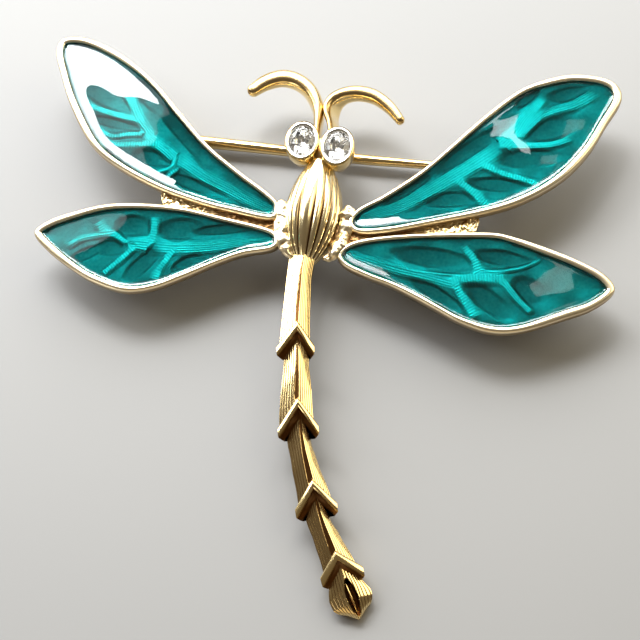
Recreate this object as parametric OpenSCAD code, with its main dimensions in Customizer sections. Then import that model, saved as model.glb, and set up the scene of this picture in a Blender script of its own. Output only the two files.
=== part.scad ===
// Openwork dragonfly brooch: a gold-plated casting with four enamelled wings,
// two crystal eyes in cups, a ribbed body, a curved jointed-looking tail and a pin on the back.
// Millimetres. X runs across the wings, Y towards the head, Z up from the surface it lies on.

/* [Wings] */
// Height of the wing rims' top above the surface, at the body
rim_height = 4.9; // [4.5:0.1:6]
// Width of the raised rim round each wing
rim_width = 0.5; // [0.3:0.05:0.8]
// Height of a wing's side wall
wing_thickness = 1.2; // [1:0.1:2]
// Depth of the pocket that holds the enamel
pocket_depth = 0.7; // [0.5:0.05:1]
// How far the enamel lies below the rim
enamel_drop = 0.12; // [0:0.02:0.3]
// Slope of the fore wings, rising outwards, in degrees
fore_lift = 3; // [0:0.5:8]
// Height of the web between a side's two wings
web_thickness = 0.5; // [0.4:0.05:1]
// Slope of that web, in degrees
web_lift = 2; // [0:0.5:4]

/* [Body] */
// Length of the ribbed body
thorax_length = 12.2; // [10:0.1:13]
// Half of its width
thorax_half_width = 3.15; // [2.5:0.05:3.5]
// Height of its back above the rims
thorax_rise = 2.3; // [1.5:0.1:3]
// Number of ribs over its back
thorax_ribs = 12; // [8:16]
// How far each rib stands out, as a part of the body's radius
rib_relief = 0.07; // [0:0.01:0.12]

// Lean of the ribbed body to the right, towards the head, in degrees
thorax_lean = 5; // [0:0.5:8]

/* [Eyes] */
// Half of a crystal's length, along the brooch
stone_radius = 1.7; // [1.2:0.05:2]
// Width of crystal and cup as a part of their length
eye_oval = 0.81; // [0.8:0.01:1]
// Wall of the cup at its top
cup_wall = 0.45; // [0.3:0.02:0.6]
// Height of the cups' tops above the rims
cup_rise = 1.9; // [1:0.1:2.5]
// How much wider the cup is at its foot
cup_draft = 0.12; // [0:0.02:0.4]

/* [Pin] */
// Height of the pin's axis above the surface
pin_height = 1.2; // [1:0.1:1.6]
// Distance of the hinge from the middle of the body, towards the head
hinge_along = 8.35; // [7:0.05:9]
// The same of the catch
catch_along = 7.75; // [7:0.05:9]
// Distance of the hinge from the middle, to the left
hinge_across = 16.4; // [14:0.1:17]
// Distance of the catch from the middle, to the right
catch_across = 14.2; // [12:0.1:16]
// Thickness of the pin at the hinge
pin_root_diameter = 1.2; // [1:0.05:1.4]
// Thickness of the pin where its point begins
pin_end_diameter = 0.8; // [0.6:0.05:1]
// Thickness of the rivet through the hinge
rivet_diameter = 0.8; // [0.6:0.05:1]

/* [Hidden] */

$fn = 32;

// Gap that separate pieces keep
gap = 0.03;

// How far a hole's cutter stands out beyond the metal it cuts
overshoot = 1;

// Steps between two points of a smooth outline, and between two rows of a smooth line
outline_steps = 4;
line_steps = 3;

// Place of the ribbed body's middle, and how full its outline is, from 0 as a box to 1 as a plain arc
thorax_middle = [0.05, 0.25];
thorax_fullness = 0.75;

// Round block under the eyes, and the neck between it, the body and the antennae
head_radius = 1.5;
neck_width = 2.2;
neck_start = 4;
neck_length = 6;
neck_rise = 0.4;

// How deep a cup is bored for its crystal
bore_depth = 1.6;

// Height of the antennae's tops above the rims, and the number of sides of their section
antenna_rise = 0.6;
antenna_sides = 10;

// Height of the tail's section, how high its edges lie in it, the swell of its faces and its foot's share
tail_height = 2.2;
tail_edge = 0.45;
tail_swell = 0.12;
tail_foot = 0.9;

// How far the centres of the lumps at the wing roots lie below the rims' top
lump_sink = 0.4;

// Thickness of the hinge's cheeks, their play beside the pin, and how far they rise into the wing
cheek_width = 0.7;
cheek_play = 0.08;
cheek_sink = 1.1;

// Length of the catch along the pin, width of its post, its bore, its mouth, and its rise into the wing
catch_length = 1.6;
catch_post = 1.6;
catch_bore = 1.1;
catch_mouth = 1.04;
catch_sink = 1;

// Length of the pin's point, the eye's clearance from the surface, its extra width, and the rivet's overhang
point_length = 2.4;
point_diameter = 0.12;
pin_eye_clearance = 0.15;
pin_eye_extra = 0.04;
pin_sides = 12;
rivet_overhang = 1.7;

// The middle of the whole brooch, seen from above, which becomes the origin
middle = [0.19, -10.9];

gold = "#d8a93e";
teal = "#0f8a86";
crystal = "#e8eef2";

// Wing outlines, from the root along the tail side to the tip and back along the head side
// [ACROSS, ALONG] of each point, across measured outwards from the middle of the body
FORE_LEFT = [
    [4.2, -1.2], [8.3, -0.85], [12, -0.25], [16.5, 0.9], [21, 2.8], [24.1, 5], [26.9, 8.9],
    [28.6, 12.3], [29.7, 15.1], [29.1, 16.8], [26.3, 17], [22.5, 15.5], [18.6, 12.8], [14.9, 9.2],
    [11.7, 6.1], [8.3, 3.75], [4.9, 1.65], [3.6, 0.3]];
FORE_RIGHT = [
    [4.6, -1.8], [7.5, -1.5], [11.9, -0.3], [17.8, 1.4], [21.3, 3.05], [24.4, 5.4], [26.6, 8.2],
    [28.1, 11.3], [29.5, 14.5], [28.3, 16.4], [24.8, 16.9], [21.7, 16.1], [19, 14.6], [15.6, 11.3],
    [12.2, 7.4], [10, 5.1], [6.7, 2.4], [4.4, 0.8], [3.5, -0.7]];
HIND_LEFT = [
    [3.9, -4.4], [6.7, -5.2], [9.4, -6.5], [12, -8], [15.2, -9.6], [18.2, -10.2], [21.5, -9.5],
    [24.1, -8.3], [26.9, -6.6], [28.6, -4.9], [27.4, -3.4], [25, -2.2], [21.5, -1], [17.5, -0.55],
    [13.6, -0.65], [9.6, -1.2], [5.7, -1.8], [3.7, -2.4], [3.1, -3.5]];
HIND_RIGHT = [
    [3.6, -5.3], [5.8, -6.2], [8.3, -6.9], [10.6, -7.8], [13.1, -8.9], [15.6, -10], [18.6, -10.7],
    [21.6, -10.3], [25.6, -8.6], [28.2, -7.3], [30.1, -5.4], [29.2, -3.8], [26.5, -2.5], [23.1, -1.4],
    [20, -0.65], [17.8, -0.4], [13.9, -0.8], [8.3, -1.6], [4.4, -2.6], [2.9, -4]];

// Webs between the wings, [ACROSS, ALONG]
WEB_LEFT = [
    [2, 0.2], [4.2, -0.9], [8.3, -0.6], [12, 0], [15.8, 1], [15.4, -0.8], [13.6, -0.9], [9.6, -1.45],
    [5.7, -2.05], [2, -3.1]];
WEB_RIGHT = [
    [2, 0.1], [4.6, -1.5], [7.5, -1.25], [11.9, 0], [16.2, 1.2], [16, -0.8], [13.9, -1.05],
    [8.3, -1.85], [4.4, -2.9], [2, -3.3]];

// Cast lumps where the wings join the body, [ACROSS, ALONG, RADIUS]
SHOULDERS = [[-3.25, 0.35, 1.1], [-2.95, -2.2, 1.05], [-2.75, -3.75, 0.95],
             [3.35, -0.45, 1.1], [3.05, -3.15, 1], [2.65, -4.65, 0.95]];

// Middles of the crystal eyes, [ACROSS, ALONG]
EYES = [[-1.97, 6.9], [1.67, 6.6]];

// Antennae, [ACROSS, ALONG, WIDTH, DEPTH] from the head out to the tip
ANTENNA_LEFT = [
    [-0.2, 8.2, 1.1, 3], [-0.45, 10.2, 1.1, 2.8], [-0.95, 12.1, 1.1, 2.4], [-2, 13.7, 1.15, 2.1],
    [-3.5, 14.65, 1.2, 1.9], [-5.2, 14.8, 1.2, 1.7], [-6.9, 14.1, 1.2, 1.5], [-8.2, 12.85, 1.15, 1.2]];
ANTENNA_RIGHT = [
    [0.1, 8.4, 1.1, 3.4], [0.15, 10.2, 1.1, 3.4], [0.55, 11.9, 1.1, 2.8], [1.5, 13.1, 1.15, 2.1],
    [3, 13.6, 1.2, 1.8], [4.8, 13.3, 1.15, 1.6], [6.5, 12.15, 1, 1.3], [7.65, 10.75, 0.7, 1]];

// Rings of the tail, each a swept-back chevron with its apex on the ridge
// [ACROSS, ALONG, RIDGE_Z, HALF_WIDTH, SWEEP] with ridge heights above the surface
TAIL = [
    [-0.3, -3.6, 5.25, 1.3, 0.05], [-0.35, -6.6, 5.42, 1.22, 0.33], [-0.2, -9.5, 5.3, 1.35, 1.2],
    [-0.05, -11.6, 5.3, 1.5, 2.1], [-0.05, -11.8, 5.7, 1.85, 2.4], [0, -12.4, 5.6, 1.9, 2.5],
    [0.2, -13.6, 4.8, 1.25, 2.3], [0.5, -16, 4.8, 1.5, 2.3],
    [0.85, -19, 4.6, 1.7, 2.6], [0.9, -19.2, 5, 1.95, 2.8], [1, -19.8, 4.9, 2, 2.9],
    [1.3, -21.2, 3.9, 1.15, 2.6], [2.1, -23.8, 3.8, 1.35, 2.4],
    [3.15, -26.5, 3.6, 1.65, 2.5], [3.2, -26.7, 4, 2, 2.6], [3.45, -27.3, 3.9, 2.05, 2.6],
    [3.8, -28.6, 2.9, 1.15, 2.3], [4.8, -30.6, 2.8, 1.35, 2.2],
    [6.05, -32.8, 2.7, 1.65, 2.2], [6.15, -33, 3.1, 2.05, 2.2], [6.4, -33.6, 3, 2.1, 2.2],
    [6.8, -34.6, 2.1, 1.75, 1.6], [7.4, -35.9, 2.1, 2, 1], [8.1, -37.2, 2, 1.9, 0.3],
    [8.7, -38.3, 1.5, 1.35, -0.3], [9, -38.9, 0.9, 0.6, -0.5]];

// The slot in the bud at the tail's end: its middle, length, width, the height of its floor and its turn
TAIL_SLOT = [8.15, -36.6];
TAIL_SLOT_LENGTH = 2.4;
TAIL_SLOT_WIDTH = 0.7;
TAIL_SLOT_FLOOR = 1.1;
TAIL_SLOT_TURN = 27;

// The pin's middle line from its eye to its point, [ACROSS, ALONG, DIAMETER]
PIN_LINE = [
    [0.6 - hinge_across, hinge_along, pin_root_diameter], [-13.2, 8.31, pin_root_diameter * 1.1],
    [-5.9, 8.12, pin_root_diameter], [3.7, 7.8, pin_root_diameter * 0.93],
    [8.4, 7.77, pin_root_diameter * 0.8], [catch_across, catch_along, pin_end_diameter],
    [catch_across + point_length, catch_along, point_diameter]];

// A point on the smooth curve through b and c, with a and d as the points beyond them
function curve_point(a, b, c, d, t) =
    0.5 * (2 * b + (c - a) * t + (2 * a - 5 * b + 4 * c - d) * t * t + (3 * b - a - 3 * c + d) * t * t * t);

// A smooth closed outline through the points, with some steps between each two
function closed_curve(points, steps) =
    let (n = len(points))
    [for (i = [0 : n - 1], s = [0 : steps - 1])
        curve_point(points[(i + n - 1) % n], points[i], points[(i + 1) % n], points[(i + 2) % n], s / steps)];

// A smooth open line through the rows of a table
function open_curve(rows, steps) =
    let (n = len(rows))
    [for (i = [0 : n - 2], s = [0 : steps - 1])
        curve_point(rows[max(i - 1, 0)], rows[i], rows[i + 1], rows[min(i + 2, n - 1)], s / steps),
     rows[n - 1]];

// The outline moved inwards by a distance
function inset(outline, distance) =
    let (n = len(outline))
    [for (i = [0 : n - 1])
        let (run = outline[(i + 1) % n] - outline[(i + n - 1) % n])
        outline[i] + distance * [-run.y, run.x] / norm(run)];

// A closed solid through rings that all have the same number of points
module loft(rings) {
    count = len(rings[0]);
    last = len(rings) - 1;
    sides = [for (i = [0 : last - 1], j = [0 : count - 1])
        let (a = i * count + j, b = i * count + (j + 1) % count)
        each [[a, b, b + count], [a, b + count, a + count]]];
    caps = [[for (j = [count - 1 : -1 : 0]) j], [for (j = [0 : count - 1]) last * count + j]];
    polyhedron([for (ring = rings) each ring], [each sides, each caps]);
}

// Puts a wing's parts on their side of the body, lifted outwards
module wing_place(side, lift) {
    translate([0, 0, rim_height])
        mirror([side < 0 ? 1 : 0, 0, 0])
            rotate([0, -lift, 0])
                children();
}

module wing_tray(points) {
    outline = closed_curve(points, outline_steps);
    difference() {
        translate([0, 0, -wing_thickness])
            linear_extrude(wing_thickness)
                polygon(outline);
        translate([0, 0, -pocket_depth])
            linear_extrude(pocket_depth + overshoot)
                polygon(inset(outline, rim_width));
    }
}

module wing_enamel(points) {
    color(teal)
        translate([0, 0, gap - pocket_depth])
            linear_extrude(pocket_depth - gap - enamel_drop)
                polygon(inset(closed_curve(points, outline_steps), rim_width + gap));
}

module web(points) {
    translate([0, 0, -wing_thickness])
        linear_extrude(web_thickness)
            polygon(points);
}

// The ribbed body, a pointed oval with a flat underside
module thorax() {
    base = rim_height - wing_thickness;
    height = wing_thickness + thorax_rise;
    samples = thorax_ribs * 2;
    stations = [0.02, each [0.08 : 0.084 : 0.93], 0.98];
    translate([thorax_middle.x, thorax_middle.y, 0])
        rotate(-thorax_lean)
            loft([for (s = stations)
                let (bulge = pow(sin(180 * s), thorax_fullness))
                [for (j = [0 : samples])
                    let (a = 180 * j / samples, r = bulge * (1 + rib_relief * cos(a * thorax_ribs)))
                    [thorax_half_width * r * cos(a),
                     thorax_length * (s - 0.5),
                     base + height * r * sin(a)]]]);
}

// The block under the eyes and a cup round each crystal
module head() {
    base = rim_height - wing_thickness;
    hull()
        for (eye = EYES)
            translate([eye.x, eye.y, base])
                cylinder(r = head_radius, h = wing_thickness);
    translate([-neck_width / 2, neck_start, base])
        cube([neck_width, neck_length, wing_thickness + neck_rise]);
    for (eye = EYES)
        translate([eye.x, eye.y, base])
            scale([eye_oval, 1, 1])
                cylinder(r1 = stone_radius + cup_wall + cup_draft, r2 = stone_radius + cup_wall,
                         h = wing_thickness + cup_rise, $fn = 24);
}

module eye_bores() {
    for (eye = EYES)
        translate([eye.x, eye.y, rim_height + cup_rise - bore_depth])
            scale([eye_oval, 1, 1])
                cylinder(r = stone_radius + gap, h = bore_depth + overshoot);
}

// One antenna, a rounded strip that is deeper towards the head
module antenna(rows) {
    line = open_curve(rows, line_steps);
    n = len(line);
    top = rim_height + antenna_rise;
    loft([for (i = [0 : n - 1])
        let (run = line[min(i + 1, n - 1)] - line[max(i - 1, 0)],
             side = [run.y, -run.x] / norm([run.x, run.y]))
        [for (j = [0 : antenna_sides - 1])
            let (a = j * 360 / antenna_sides)
            [line[i].x + side.x * line[i][2] / 2 * cos(a),
             line[i].y + side.y * line[i][2] / 2 * cos(a),
             top - line[i][3] / 2 + line[i][3] / 2 * sin(a)]]]);
    translate([line[n - 1].x, line[n - 1].y, top - line[n - 1][3] / 2])
        sphere(d = line[n - 1][2], $fn = 12);
}

// The tail, lofted through its chevron rings
module tail() {
    n = len(TAIL);
    difference() {
        loft([for (i = [0 : n - 1])
            let (row = TAIL[i], run = TAIL[min(i + 1, n - 1)] - TAIL[max(i - 1, 0)],
                 way = [run.x, run.y] / norm([run.x, run.y]), side = [-way.y, way.x],
                 low = max(0, row[2] - tail_height), edge = low + (row[2] - low) * tail_edge,
                 face = (edge + row[2]) / 2 + tail_swell)
            [for (u = [[-tail_foot, low], [-1, edge], [-0.5, face], [0, row[2]],
                       [0.5, face], [1, edge], [tail_foot, low]])
                [row.x + side.x * u[0] * row[3] + way.x * row[4] * abs(u[0]),
                 row.y + side.y * u[0] * row[3] + way.y * row[4] * abs(u[0]),
                 u[1]]]]);
        translate([TAIL_SLOT.x, TAIL_SLOT.y, TAIL_SLOT_FLOOR])
            rotate(TAIL_SLOT_TURN)
                scale([TAIL_SLOT_WIDTH / TAIL_SLOT_LENGTH, 1, 1])
                    cylinder(d = TAIL_SLOT_LENGTH, h = 2 * overshoot);
    }
}

// The hinge's two cheeks, soldered under the left fore wing
module hinge_lug() {
    middle_of_cheek = pin_root_diameter / 2 + cheek_play + cheek_width / 2;
    height = rim_height - pin_height - wing_thickness + cheek_sink;
    difference() {
        for (side = [-1, 1])
            translate([-hinge_across, hinge_along + side * middle_of_cheek, 0]) {
                translate([0, 0, pin_height])
                    rotate([90, 0, 0])
                        cylinder(r = pin_height, h = cheek_width, center = true);
                translate([-pin_height, -cheek_width / 2, pin_height])
                    cube([2 * pin_height, cheek_width, height]);
            }
        rivet_hole();
    }
}

// The hole for the rivet through both cheeks and the pin's eye
module rivet_hole() {
    translate([-hinge_across, hinge_along, pin_height])
        rotate([90, 0, 0])
            cylinder(d = rivet_diameter + 2 * gap, h = 4 * pin_height + overshoot, center = true);
}

// The catch, a hook open towards the back, soldered under the right fore wing
module catch() {
    translate([catch_across, catch_along, pin_height])
        rotate([90, 0, 90])
            linear_extrude(catch_length, center = true)
                difference() {
                    union() {
                        circle(r = pin_height);
                        translate([-catch_post / 2, 0])
                            square([catch_post, rim_height - pin_height - wing_thickness + catch_sink]);
                    }
                    circle(d = catch_bore);
                    translate([-catch_mouth / 2, -pin_height - overshoot])
                        square([catch_mouth, pin_height + overshoot]);
                }
}

module casting() {
    color(gold)
        union() {
            resize([0, 0, 0])
                difference() {
                    union() {
                        wing_place(-1, fore_lift) wing_tray(FORE_LEFT);
                        wing_place(1, fore_lift) wing_tray(FORE_RIGHT);
                        wing_place(-1, 0) wing_tray(HIND_LEFT);
                        wing_place(1, 0) wing_tray(HIND_RIGHT);
                        wing_place(-1, web_lift) web(WEB_LEFT);
                        wing_place(1, web_lift) web(WEB_RIGHT);
                        thorax();
                        head();
                        antenna(ANTENNA_LEFT);
                        antenna(ANTENNA_RIGHT);
                        tail();
                        for (lump = SHOULDERS)
                            translate([lump.x, lump.y, rim_height - lump_sink])
                                sphere(r = lump.z, $fn = 12);
                    }
                    eye_bores();
                }
            hinge_lug();
            catch();
        }
}

// A brilliant-cut crystal: table, star, kite and girdle facets above, a pointed pavilion below
module stone(eye) {
    crown = 0.5;
    girdle = 0.12;
    pavilion = 0.95;
    table_share = 0.56;
    star_share = 0.78;
    star_height = 0.62;
    lower_share = 0.4;
    below_cup = 0.25;
    function ring(count, radius, start, z) =
        [for (i = [0 : count - 1])
            let (a = start + i * 360 / count)
            [eye_oval * radius * cos(a), radius * sin(a), z]];
    points = [
        each ring(8, stone_radius * table_share, 0, crown),
        each ring(8, stone_radius * star_share, 22.5, crown * star_height),
        each ring(16, stone_radius, 0, 0),
        each ring(16, stone_radius, 0, -girdle),
        each ring(8, stone_radius * lower_share, 22.5, -girdle - pavilion * star_height),
        [0, 0, -girdle - pavilion]];
    upper = [for (i = [0 : 7])
        let (a = i, b = (i + 1) % 8, m = 8 + i, p = 8 + (i + 7) % 8,
             g = 16 + 2 * i, h = 16 + (2 * i + 2) % 16)
        each [[a, b, m], [a, g, p], [a, m, g], [m, g + 1, g], [m, h, g + 1]]];
    band = [for (i = [0 : 15])
        let (a = 16 + i, b = 16 + (i + 1) % 16)
        each [[a, b + 16, a + 16], [a, b, b + 16]]];
    lower = [for (i = [0 : 7])
        let (g = 32 + 2 * i, h = 32 + (2 * i + 2) % 16, m = 48 + i, n = 48 + (i + 1) % 8)
        each [[g, g + 1, m], [g + 1, h, m], [m, h, n], [m, n, 56]]];
    color(crystal)
        translate([eye.x, eye.y, rim_height + cup_rise - below_cup])
            polyhedron(points, [[for (i = [7 : -1 : 0]) i], each upper, each band, each lower]);
}

// The pin, slightly bent behind the head, with the eye of its hinge and a sharpened end
module pin_stem() {
    line = open_curve(PIN_LINE, line_steps);
    n = len(line);
    color(gold)
        union() {
            difference() {
                translate([-hinge_across, hinge_along, pin_height])
                    rotate([90, 0, 0])
                        cylinder(r = pin_height - pin_eye_clearance, h = pin_root_diameter + pin_eye_extra,
                                 center = true);
                rivet_hole();
            }
            loft([for (i = [0 : n - 1])
                let (run = line[min(i + 1, n - 1)] - line[max(i - 1, 0)],
                     side = [run.y, -run.x] / norm([run.x, run.y]))
                [for (j = [0 : pin_sides - 1])
                    let (a = j * 360 / pin_sides)
                    [line[i].x + side.x * line[i].z / 2 * cos(a),
                     line[i].y + side.y * line[i].z / 2 * cos(a),
                     pin_height + line[i].z / 2 * sin(a)]]]);
        }
}

module hinge_rivet() {
    color(gold)
        translate([-hinge_across, hinge_along, pin_height])
            rotate([90, 0, 0])
                cylinder(d = rivet_diameter, h = pin_root_diameter + rivet_overhang, center = true);
}

translate([-middle.x, -middle.y, 0]) {
    casting();
    wing_place(-1, fore_lift) wing_enamel(FORE_LEFT);  // enamel_fore_left
    wing_place(1, fore_lift) wing_enamel(FORE_RIGHT);  // enamel_fore_right
    wing_place(-1, 0) wing_enamel(HIND_LEFT);  // enamel_hind_left
    wing_place(1, 0) wing_enamel(HIND_RIGHT);  // enamel_hind_right
    stone(EYES[0]);  // stone_left
    stone(EYES[1]);  // stone_right
    pin_stem();
    hinge_rivet();
}
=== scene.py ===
"""Openwork dragonfly brooch: the looks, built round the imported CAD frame.

Tables and sizes are in the part's own millimetres: ACROSS from the middle of the body, ALONG towards the
head, Z up from the surface that the brooch lies on. at() turns them into the frame's metres.
"""
import math

import bmesh
import bpy
import numpy as np
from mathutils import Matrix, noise

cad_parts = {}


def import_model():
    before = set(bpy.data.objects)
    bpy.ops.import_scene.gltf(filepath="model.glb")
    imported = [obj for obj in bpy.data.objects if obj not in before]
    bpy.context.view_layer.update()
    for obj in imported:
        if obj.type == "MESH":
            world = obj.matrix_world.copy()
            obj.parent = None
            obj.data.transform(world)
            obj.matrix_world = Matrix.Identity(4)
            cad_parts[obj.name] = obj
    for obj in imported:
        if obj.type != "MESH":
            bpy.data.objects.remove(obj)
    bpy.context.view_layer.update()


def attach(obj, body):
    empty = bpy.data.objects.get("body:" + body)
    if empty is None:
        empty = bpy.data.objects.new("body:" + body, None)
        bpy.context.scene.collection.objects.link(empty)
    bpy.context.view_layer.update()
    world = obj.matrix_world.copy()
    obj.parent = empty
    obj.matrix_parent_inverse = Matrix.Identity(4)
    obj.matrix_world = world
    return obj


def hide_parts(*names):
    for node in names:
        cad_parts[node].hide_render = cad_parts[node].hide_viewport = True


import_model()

MM = 0.001
# Where the frame's origin lies, (across, along)
MIDDLE = (0.19, -10.9)
RIM_HEIGHT = 4.9
WING_THICKNESS = 1.2
WING_BASE = RIM_HEIGHT - WING_THICKNESS
# How much the wings and the webs slope up towards their tips, in degrees
FORE_LIFT = 3
WEB_LIFT = 2

# Wing outlines, from the root along the tail side to the tip and back, (across outwards, along)
FORE_LEFT = [
    (4.2, -1.2), (8.3, -0.85), (12, -0.25), (16.5, 0.9), (21, 2.8), (24.1, 5), (26.9, 8.9), (28.6, 12.3),
    (29.7, 15.1), (29.1, 16.8), (26.3, 17), (22.5, 15.5), (18.6, 12.8), (14.9, 9.2), (11.7, 6.1),
    (8.3, 3.75), (4.9, 1.65), (3.6, 0.3)]
FORE_RIGHT = [
    (4.6, -1.8), (7.5, -1.5), (11.9, -0.3), (17.8, 1.4), (21.3, 3.05), (24.4, 5.4), (26.6, 8.2),
    (28.1, 11.3), (29.5, 14.5), (28.3, 16.4), (24.8, 16.9), (21.7, 16.1), (19, 14.6), (15.6, 11.3),
    (12.2, 7.4), (10, 5.1), (6.7, 2.4), (4.4, 0.8), (3.5, -0.7)]
HIND_LEFT = [
    (3.9, -4.4), (6.7, -5.2), (9.4, -6.5), (12, -8), (15.2, -9.6), (18.2, -10.2), (21.5, -9.5), (24.1, -8.3),
    (26.9, -6.6), (28.6, -4.9), (27.4, -3.4), (25, -2.2), (21.5, -1), (17.5, -0.55), (13.6, -0.65),
    (9.6, -1.2), (5.7, -1.8), (3.7, -2.4), (3.1, -3.5)]
HIND_RIGHT = [
    (3.6, -5.3), (5.8, -6.2), (8.3, -6.9), (10.6, -7.8), (13.1, -8.9), (15.6, -10), (18.6, -10.7),
    (21.6, -10.3), (25.6, -8.6), (28.2, -7.3), (30.1, -5.4), (29.2, -3.8), (26.5, -2.5), (23.1, -1.4),
    (20, -0.65), (17.8, -0.4), (13.9, -0.8), (8.3, -1.6), (4.4, -2.6), (2.9, -4)]

# Raised veins of the relief: (points, half width at the start and at the end, direction of the fine lines)
VEINS_FORE_LEFT = [
    ([(4.3, -0.2), (6.7, 0.6), (8.8, 1.5), (11.5, 2.6), (13.3, 3.6), (15.1, 4.6)], 0.5, 0.65, "along"),
    ([(15.1, 4.4), (16.5, 5.4), (17.9, 6.2), (18.6, 6.9)], 0.65, 0.5, "along"),
    ([(17, 5.75), (19.3, 5.4), (22, 5.15), (23.5, 5.3)], 0.32, 0.4, "across"),
    ([(15.1, 4.3), (15.2, 3.4), (16.1, 2.8), (17.3, 2.4), (18.4, 2.5)], 0.25, 0.18, "along"),
    ([(14.5, 3.2), (15.4, 2.3), (15.7, 1.5)], 0.22, 0.4, "across"),
    ([(19.3, 8.2), (21.6, 8.5), (23.7, 8.9), (26.4, 9.6)], 0.4, 0.35, "along"),
    ([(18.9, 6.7), (20.6, 6.4), (22.2, 6.1), (24.7, 7.1)], 0.35, 0.3, "across"),
    ([(17.8, 6.6), (19.3, 8.2), (20.4, 10), (21.3, 11.8), (23, 14)], 0.5, 0.6, "along"),
    ([(20.2, 9.6), (22.6, 12.2), (25, 13.9), (27.4, 15.2)], 0.35, 0.5, "across")]
VEINS_FORE_RIGHT = [
    ([(4.8, -0.3), (8.1, 1.1), (10.9, 2.8), (13.9, 5.1), (16.1, 6.8), (18.2, 8.6)], 0.5, 0.9, "along"),
    ([(18.2, 8.6), (19.4, 10.1), (20.1, 11.5), (21.2, 13.1), (22.1, 14.5)], 0.95, 0.5, "along"),
    ([(19.9, 9.7), (22, 12.2), (24.9, 13.5), (27.2, 15.2)], 0.35, 0.6, "along"),
    ([(14.1, 4.5), (15.6, 3.4), (16.7, 2.4), (17.6, 1.6)], 0.4, 0.55, "across"),
    ([(16.4, 6.3), (18.6, 5.5), (20.6, 5), (22.4, 4.5)], 0.35, 0.4, "across"),
    ([(19.2, 8.7), (21.5, 8.8), (23.3, 9.1), (25, 9.9)], 0.4, 0.4, "along")]
VEINS_HIND_LEFT = [
    ([(3.9, -3.4), (6.3, -3.7), (8.7, -4.3), (11.3, -4.8), (14.4, -5.1), (16.5, -5)], 0.4, 0.75, "along"),
    ([(16.2, -4.8), (16.1, -3.7), (16.2, -2.7), (16.3, -1.7)], 0.4, 0.5, "across"),
    ([(16.5, -5), (17.7, -5), (18.8, -5.1)], 0.75, 0.5, "along"),
    ([(18.8, -5), (20.2, -4.2), (21.4, -3.9), (22.4, -2.8)], 0.3, 0.5, "across"),
    ([(20.2, -4.1), (22.2, -4.6), (23.7, -5.1), (25, -6.2)], 0.3, 0.35, "along"),
    ([(17.9, -5.5), (19, -6.8), (20.1, -8), (20.8, -8.8)], 0.35, 0.4, "across"),
    ([(13.6, -5.3), (14.3, -6.4), (14.9, -7.6), (15.1, -9)], 0.25, 0.5, "across")]
VEINS_HIND_RIGHT = [
    ([(3.9, -4), (6.2, -4.6), (8.9, -5.2), (11.7, -5.6), (14.5, -6.1), (16.1, -6.2)], 0.5, 0.5, "along"),
    ([(10.5, -5.2), (13.6, -5.25), (16, -5.15), (16.9, -4.5)], 0.15, 0.2, "along"),
    ([(14.4, -5.8), (16.4, -5.4), (18.2, -5.2), (20, -5.2)], 0.5, 0.6, "across"),
    ([(17.1, -4.8), (16.4, -3.4), (15.7, -2.6), (15.1, -1.9)], 0.55, 0.35, "across"),
    ([(17.1, -4.7), (19, -4.4), (20.9, -3.9), (22.4, -3.1), (22.9, -2.4)], 0.22, 0.2, "along"),
    ([(14.7, -6.1), (15.5, -7.2), (16.4, -8.4), (17.2, -9.7)], 0.35, 0.6, "across"),
    ([(19.4, -5.4), (21.3, -7.4), (22.6, -8.5)], 0.4, 0.3, "along")]

# Deep cells of that relief: (across, along, half length, half width, turn in degrees)
CELLS_FORE_LEFT = [
    (17.4, 4.1, 2.1, 0.8, 5), (12.8, 1.7, 3, 0.6, 15), (14.4, 7.1, 4.3, 0.85, 42), (22.3, 7.6, 2.7, 0.5, 8),
    (24.2, 10.9, 2.5, 1.1, 28), (26.5, 15.3, 1.6, 0.7, 30), (19, 11, 2.6, 0.8, 45), (20.6, 3.8, 2, 0.6, 25)]
CELLS_FORE_RIGHT = [
    (13.4, 2.4, 2.9, 0.75, 8), (18.1, 4.35, 2.9, 0.68, 0), (20.9, 7.4, 3, 0.95, 6),
    (22.8, 10.7, 2.3, 1.15, 20), (24.3, 14.6, 1.9, 0.8, 12), (14.8, 7.8, 3.9, 0.8, 42), (9, 3, 2.8, 0.4, 38),
    (20.2, 14, 1.5, 0.5, 45)]
CELLS_HIND_LEFT = [
    (18.4, -3.1, 1.7, 1.05, 0), (20.4, -5.7, 1.3, 0.85, 0), (16.8, -7.2, 2.3, 0.8, -50),
    (13.5, -3, 2.2, 1.1, -8), (12.2, -6.6, 1.6, 0.7, -35), (9, -2.6, 3, 0.5, -10),
    (22.8, -6.6, 1.7, 0.6, -30)]
CELLS_HIND_RIGHT = [
    (18.3, -7.6, 2.9, 0.95, -35), (22, -6.2, 1.8, 1.2, -30), (13.2, -7.4, 3.2, 0.65, -28),
    (12.4, -3.6, 3.8, 0.95, -3), (19.2, -3, 2.7, 0.75, -5)]

# Name, side, slope, outline, veins, cells, turn of the long axis, the enamel's pool (from, to, height)
WINGS = [
    ("fore_left", -1, FORE_LIFT, FORE_LEFT, VEINS_FORE_LEFT, CELLS_FORE_LEFT, 31, (15, 30, 0.12)),
    ("fore_right", 1, FORE_LIFT, FORE_RIGHT, VEINS_FORE_RIGHT, CELLS_FORE_RIGHT, 32, (2, 8.5, 0.13)),
    ("hind_left", -1, 0, HIND_LEFT, VEINS_HIND_LEFT, CELLS_HIND_LEFT, -6, (2, 6, 0.05)),
    ("hind_right", 1, 0, HIND_RIGHT, VEINS_HIND_RIGHT, CELLS_HIND_RIGHT, -4, (2, 7.5, 0.2))]


# Shapes


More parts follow.
